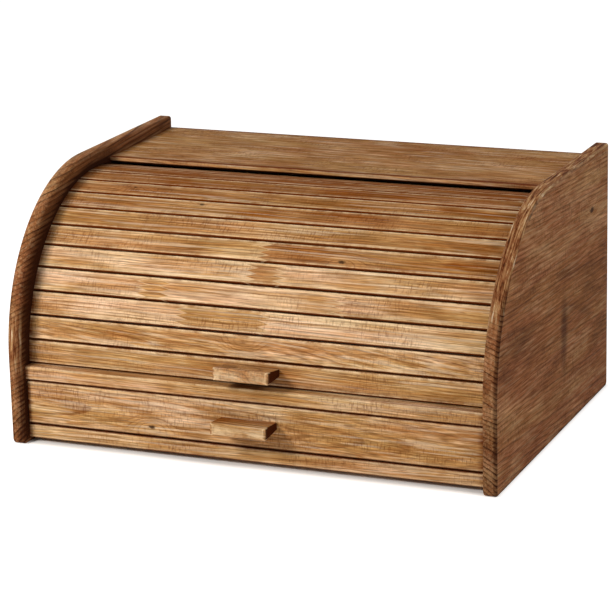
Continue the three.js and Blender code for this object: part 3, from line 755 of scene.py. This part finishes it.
def board(name, corners, radii, stick, node, body, reach=PANEL_IN, thin=None, rub=0.6,
          above=(2.0, 2.4)):
    """Board along X between the side panels. Its profile in the plane of Y and Z is the rounded outline of
    the corners, and its faces ripple by a few hundredths of a millimetre, as planed wood does. Where thin
    gives a place along X and a rear limit, the board is thinner beyond that place, as at a rabbet. Above
    says how dark the stain stands on the upper face, and how far it reaches back from the arris, in
    millimetres."""
    points, normals, distance = rounded_outline(corners, radii)
    backward, upward = normals.T
    corner = min(reach, PANEL_IN)
    places = [np.linspace(-reach, reach, 77), NEAR_END - corner, corner - NEAR_END]
    if thin:
        places.append([thin[0] - TINY, thin[0], -thin[0] - TINY, -thin[0]])
    along = np.sort(np.concatenate(places))
    grid = carried(points, along)
    wave = np.abs(np.sin(along[:, None] * 61 + distance * 300 + stick.seed * 7)) * RIPPLE
    grid[..., 1:] -= normals * (wave * (distance > 0.5 * MM))[..., None]
    if thin:
        beyond = (np.abs(along) > thin[0] - TINY / 2)[:, None]
        grid[..., 1] = np.where(beyond, np.minimum(grid[..., 1], thin[1]), grid[..., 1])
    wear = rubbed(distance, 0.7) * (backward < 0.8) * np.where(upward > -0.1, rub, 0.1)
    wear = wear * np.clip((0.9 - upward) / 0.3, 0, 1)
    # Stain stands in the gaps between the boards and in the corners by the side panels; this dark is also
    # painted shade of the gaps and corners
    under = 2.0 * np.clip(-3.0 * upward - 0.6, 0, 1) * rubbed(distance, 2.4)
    over = above[0] * np.clip(2.0 * upward - 0.6, 0, 1) * rubbed(distance, above[1])
    end = np.maximum((under + over) * (backward < 0.5), corner_stain_and_shade(along, corner)[:, None])
    middle = points.mean(0)
    marks = stick.marks(grid[..., 0], grid[..., 2] - middle[1], grid[..., 1] - middle[0], wear, end)
    skin(name, grid, marks, node, body, "slat")


def box_corners(node, trim=0.0):
    """Corners of a node's box in the plane of Y and Z, counter-clockwise from its lower front."""
    low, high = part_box(node)
    return [(low.y, low.z), (high.y - trim, low.z), (high.y - trim, high.z), (low.y, high.z)]


class BREADBOX_OT_boards(bpy.types.Operator):
    """Builds the top board, the shelf and the bottom board"""
    bl_idname = "breadbox.boards"
    bl_label = "Boards"

    def execute(self, context):
        arris = context.scene.bread_box_sizes.board_arris
        radii = [arris, SLIGHT, SLIGHT, arris]
        board("shelf", box_corners("shelf_board"), radii,
              Stick(0.42, (70, 25), (0.02, 0.01), seed=11.0), "shelf_board", "cabinet",
              above=(0.5, 40))
        board("floor_board", box_corners("bottom_board"), radii,
              Stick(0.46, (-60, 30), (-0.02, 0.02), seed=12.0), "bottom_board", "cabinet")
        low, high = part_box("top_board")
        # Its lower face slopes over 25 mm to a front lip 3.3 mm thick
        corners = [(low.y, high.z - 3.3 * MM), (low.y + 25 * MM, low.z), (high.y, low.z), (high.y, high.z),
                   (low.y, high.z)]
        board("top", corners, [0.5 * MM, 4 * MM, SLIGHT, 0.8 * MM, arris],
              Stick(0.55, (-20, 60), (0.05, 0.03), seed=13.0), "top_board", "cabinet",
              rub=0.2)
        return {"FINISHED"}


# How each slat was cut, from the lead slat up: tone, pith, lean, and knot and finger joints in millimetres
SLATS = [
    Stick(0.62, (60, 14), (0.01, 0.02), seed=21.0),
    Stick(0.48, (10, 16), (0.04, 0.06), seed=22.0, knot=(-8, 2, 0.1)),
    Stick(0.30, (75, 10), (0.01, 0.00), seed=23.0, joints=[(-57, 3)]),
    Stick(0.25, (-64, 12), (0.01, 0.02), seed=24.0, joints=[(-93, -83), (70, 400)]),
    Stick(0.33, (58, 22), (-0.01, 0.02), seed=25.0, joints=[(-6, 9)]),
    Stick(0.46, (-40, 18), (0.01, 0.01), seed=26.0, knot=(60, -4, 1.5), joints=[(0, 400)]),
    Stick(0.62, (80, 10), (0.01, 0.02), seed=27.0),
    Stick(0.72, (52, 16), (0.01, 0.00), seed=28.0, knot=(-72, 5, 1.3)),
    Stick(0.70, (-72, 12), (0.01, 0.03), seed=29.0, knot=(-137, 3, 1.1)),
    Stick(0.86, (66, 18), (0.01, 0.01), seed=30.0),
    Stick(1.00, (-58, 14), (0.01, 0.02), seed=31.0),
    Stick(0.94, (70, 14), (0.01, 0.02), seed=32.0),
    Stick(0.90, (62, 15), (0.01, 0.02), seed=33.0),
]


def curtain_angles(sizes):
    """Angle of the lead slat above the front, and angle from slat to slat."""
    inner = CURTAIN_RADIUS - sizes.slat_thickness
    step = 2 * math.atan((sizes.slat_width + sizes.slat_gap) / 2 / inner)
    return math.atan2(sizes.slat_width / 2, inner), step


def turned_up(points, angle):
    """Points drawn about the curtain's axis, at its front, turned up from the front by the angle."""
    y, z = points[..., 1], points[..., 2]
    return np.stack([points[..., 0], AXIS_Y + y * math.cos(angle) + z * math.sin(angle),
                     AXIS_Z - y * math.sin(angle) + z * math.cos(angle)], -1)


class BREADBOX_OT_slats(bpy.types.Operator):
    """Builds the slats of the curtain"""
    bl_idname = "breadbox.slats"
    bl_label = "Slats"

    def execute(self, context):
        sizes = context.scene.bread_box_sizes
        lead, step = curtain_angles(sizes)
        half, arris = sizes.slat_width / 2, sizes.slat_arris
        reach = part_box("curtain_slat_01")[1].x
        front, back = -CURTAIN_RADIUS, -CURTAIN_RADIUS + sizes.slat_thickness
        corners = [(front, -half), (back, -half), (back, half), (front, half)]
        points, normals, distance = rounded_outline(corners, [arris, 0.2 * MM, 0.2 * MM, arris], flats=6)
        backward, upward = normals.T
        places = (np.linspace(-reach, reach, 79), NEAR_END - PANEL_IN, PANEL_IN - NEAR_END)
        along = np.sort(np.concatenate(places))
        for number, stick in enumerate(SLATS):
            grid = carried(points, along)
            # Each outer face ripples and lies up to 0.22 mm deeper than the solid model's
            wave = np.sin(along[:, None] * 43 + stick.seed * 3) + np.sin(along[:, None] * 97 + stick.seed * 5)
            face = np.abs(wave) * RIPPLE + (0.5 + 0.5 * math.sin(stick.seed * 9)) * 0.22 * MM
            grid[..., 1] += np.where(backward < -0.5, face, 0)
            wear = np.where((backward < -0.5) & (upward > -0.2), rubbed(distance, 0.9), 0.0)
            # Stain stands in the joints, most of all under the lower arris; this dark is also painted shade
            # in the gaps between the slats
            end = np.clip(np.where(upward < 0, -1.8, 1.3) * upward - 0.25, 0, 1)
            end = end * (backward < 0.5) * (0.5 + 1.8 * rubbed(points[:, 0] - front, 3.0))
            # Stain and painted shade in the corners by the side panels, wider on the right
            end = np.maximum(end, corner_stain_and_shade(along, PANEL_IN)[:, None])
            marks = stick.marks(grid[..., 0], grid[..., 2], grid[..., 1] - front, wear, end)
            word = f"slat_{number + 1:02d}"
            skin(word, turned_up(grid, lead + number * step), marks, f"curtain_{word}", "curtain",
                 "slat")
        return {"FINISHED"}


def drawn_back(radius, distance):
    """How far the quarter circle of an arris draws a face back, at a distance from the arris's edge."""
    return radius - np.sqrt(np.maximum(radius ** 2 - np.maximum(radius - distance, 0) ** 2, 0))


def pull_surface(sizes, root, up):
    """Pull as rings from its root to its front: each ring is a rounded rectangle. Its half length follows
    the quarter circle of the plan's corner, and its half height grows from the root to the front and is
    drawn in by the quarter circle of the arris at the last."""
    low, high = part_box("drawer_pull")
    reach, half_length, half_front = high.y - low.y, high.x, (high.z - low.z) / 2
    half_root, corner, arris = 0.6 * half_front, sizes.pull_corner, sizes.pull_arris
    round_corner = (1 - np.sin(np.linspace(0, math.pi / 2, 12))) * corner
    from_front = np.unique(np.concatenate([np.linspace(reach, 3 * MM, 9), round_corner, [0.0]]))[::-1, None]
    rise = half_root + (half_front - half_root) * (1 - from_front / reach) - drawn_back(arris, from_front)
    stretch = half_length - drawn_back(corner, from_front)
    # A square whose corners are all but sharp gives each ring its points
    tip = 0.0001
    unit, normals, distance = rounded_outline([(-1, -1), (1, -1), (1, 1), (-1, 1)], tip, flats=6)
    on_arc = distance < 1e-9
    radius = np.minimum(arris, rise * 0.9)

    def spread(part, half, arc):
        straight = part * np.where(np.abs(part) > 1 - tip, half, half - radius)
        return np.where(on_arc, np.sign(part) * (half - radius) + radius * arc, straight)

    x, z = (spread(unit[:, k], half, normals[:, k]) for k, half in enumerate((stretch, rise)))
    y = np.broadcast_to(root - reach + from_front, x.shape)
    sideways, upward = normals.T
    # The stain soaked into the cut ends, and stands on the upper and lower faces
    to_end = np.maximum(np.abs(sideways) * 5 - 2, np.where(upward > 0, 0.2, 0.9) * np.abs(upward))
    to_end = to_end * np.clip(from_front / corner * 1.5 - 0.5, 0, 1)
    wear = np.where(on_arc, 0.6, 0.0) * (from_front < 2 * corner) + rubbed(from_front, 0.8) * 0.3
    return np.stack([x, y, z + up], -1), wear, to_end


class BREADBOX_OT_pulls(bpy.types.Operator):
    """Builds the pulls of the curtain and of the drawer"""
    bl_idname = "breadbox.pulls"
    bl_label = "Pulls"

    def execute(self, context):
        sizes = context.scene.bread_box_sizes
        lead = curtain_angles(sizes)[0]
        low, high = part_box("drawer_pull")
        grid, wear, end = pull_surface(sizes, high.y, (low.z + high.z) / 2)
        stick = Stick(0.75, (40, 16), (0.02, 0.05), seed=41.0)
        marks = stick.marks(grid[..., 0], grid[..., 2] - low.z, grid[..., 1] - low.y, wear, end)
        skin("drawer_grip", grid, marks, "drawer_pull", "drawer", "pull")
        grid, wear, end = pull_surface(sizes, -CURTAIN_RADIUS - PLAY, 2 * MM)
        stick = Stick(0.52, (16, 12), (0.06, -0.05), knot=(17, -3, 0.1), seed=42.0)
        marks = stick.marks(grid[..., 0], grid[..., 2], grid[..., 1] + CURTAIN_RADIUS, wear, end)
        grid = turned_up(grid, lead)
        skin("curtain_grip", grid, marks, "curtain_pull", "curtain", "pull")
        return {"FINISHED"}


class BREADBOX_OT_drawer(bpy.types.Operator):
    """Builds the drawer's front and finishes its sides, back and bottom"""
    bl_idname = "breadbox.drawer"
    bl_label = "Drawer"

    def execute(self, context):
        arris = context.scene.bread_box_sizes.board_arris
        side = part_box("drawer_side_right")[0]
        # The drawer front is drawn darker toward its right end: painted shade
        board("drawer_face", box_corners("drawer_front", trim=0.05 * MM), [arris, SLIGHT, SLIGHT, arris],
              Stick(0.42, (-1, 24), (0.01, 0.045), knot=(-82, -10, 1.5), shade_to_right=0.14, seed=14.0),
              "drawer_front", "drawer",
              reach=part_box("drawer_front")[1].x, thin=(side.x - PLAY, side.y - PLAY))
        wear_solid(("drawer_side",), "lengthwise")
        wear_solid(("drawer_back",), "across")
        wear_solid(("drawer_bottom",), "plywood")
        return {"FINISHED"}


class BREADBOX_OT_hidden_pieces(bpy.types.Operator):
    """Finishes the back panel, the cloth, the dowels, the brads and the screws"""
    bl_idname = "breadbox.hidden_pieces"
    bl_label = "Back, cloth and hardware"

    def execute(self, context):
        wear_solid(("back_panel",), "plywood")
        wear_solid(("shelf_dowel", "bottom_dowel", "top_dowel"), "beech")
        wear_solid(("curtain_cloth",), "canvas")
        wear_solid(("back_brad", "drawer_brad", "curtain_pull_screw", "drawer_pull_screw"), "zinc")
        return {"FINISHED"}


def lamp(name, place, aim, size, power, tint):
    """Square soft lamp at a place, turned to its aim."""
    light = bpy.data.lights.new(name, "AREA")
    light.shape, light.size, light.energy, light.color = "SQUARE", size, power, tint
    body = bpy.data.objects.new(name, light)
    body.location = place
    body.rotation_euler = (Vector(aim) - Vector(place)).to_track_quat("-Z", "Y").to_euler()
    bpy.context.scene.collection.objects.link(body)


class BREADBOX_OT_stage(bpy.types.Operator):
    """Sets up the floor, the backdrop, the lamps and the camera"""
    bl_idname = "breadbox.stage"
    bl_label = "Studio"

    def execute(self, context):
        scene = context.scene
        stage, colours = scene.bread_box_stage, scene.bread_box_colours
        paper = dress(bpy.data.materials.new("studio floor, matt paper"), floor_paper, colours=colours,
                      glow=stage.floor_glow)
        mesh = bpy.data.meshes.new("studio_floor")
        mesh.from_pydata([(-8, -8, 0), (8, -8, 0), (8, 8, 0), (-8, 8, 0)], [], [(0, 1, 2, 3)])
        mesh.materials.append(paper)
        floor = bpy.data.objects.new("studio_floor", mesh)
        scene.collection.objects.link(floor)
        scene.world = dress(bpy.data.worlds.new("studio"), even_sky, strength=stage.sky)
        lamp("key", (-0.6, -1.0, 0.8), (0, 0, 0.08), 0.35, stage.key_power, (1.0, 0.98, 0.95))
        lamp("fill", (1.3, -0.4, 1.2), (0, 0, 0.1), 0.8, stage.fill_power, (1.0, 0.99, 0.98))
        camera = bpy.data.cameras.new("camera")
        camera.sensor_width, camera.lens = 36.0, stage.focal_length
        camera.clip_start, camera.clip_end = 0.05, 60
        body = bpy.data.objects.new("camera", camera)
        scene.collection.objects.link(body)
        turn, rise, roll = stage.bearing, stage.elevation, stage.roll
        back = Vector((math.sin(turn) * math.cos(rise), -math.cos(turn) * math.cos(rise), math.sin(rise)))
        right = (-back).cross(Vector((0, 0, 1))).normalized()
        up = right.cross(-back)
        right, up = math.cos(roll) * right + math.sin(roll) * up, math.cos(roll) * up - math.sin(roll) * right
        axes = Matrix((right, up, back)).transposed().to_4x4()
        body.matrix_world = Matrix.Translation(stage.camera_place) @ axes
        scene.camera = body
        scene.view_settings.view_transform = "Standard"
        return {"FINISHED"}


STEPS = (BREADBOX_OT_side_panels, BREADBOX_OT_boards, BREADBOX_OT_slats, BREADBOX_OT_pulls,
         BREADBOX_OT_drawer, BREADBOX_OT_hidden_pieces, BREADBOX_OT_stage)


class BREADBOX_PT_sidebar(bpy.types.Panel):
    """Lists the steps that build the bread box"""
    bl_label = "Bread Box"
    bl_idname = "BREADBOX_PT_sidebar"
    bl_space_type = "VIEW_3D"
    bl_region_type = "UI"
    bl_category = "Bread Box"

    def draw(self, context):
        for step in STEPS:
            self.layout.operator(step.bl_idname)
        scene = context.scene
        for group in (scene.bread_box_sizes, scene.bread_box_colours, scene.bread_box_stage):
            box = self.layout.box()
            for name in group.__annotations__:
                box.prop(group, name)


CLASSES = (BreadBoxSizes, BreadBoxColours, BreadBoxStage, *STEPS, BREADBOX_PT_sidebar)


def register():
    for cls in CLASSES:
        bpy.utils.register_class(cls)
    scene = bpy.types.Scene
    scene.bread_box_sizes = bpy.props.PointerProperty(type=BreadBoxSizes)
    scene.bread_box_colours = bpy.props.PointerProperty(type=BreadBoxColours)
    scene.bread_box_stage = bpy.props.PointerProperty(type=BreadBoxStage)


def unregister():
    for name in ("bread_box_sizes", "bread_box_colours", "bread_box_stage"):
        delattr(bpy.types.Scene, name)
    for cls in reversed(CLASSES):
        bpy.utils.unregister_class(cls)


def main():
    register()
    for step in STEPS:
        group, name = step.bl_idname.split(".")
        getattr(getattr(bpy.ops, group), name)()


if __name__ == "__main__":
    main()
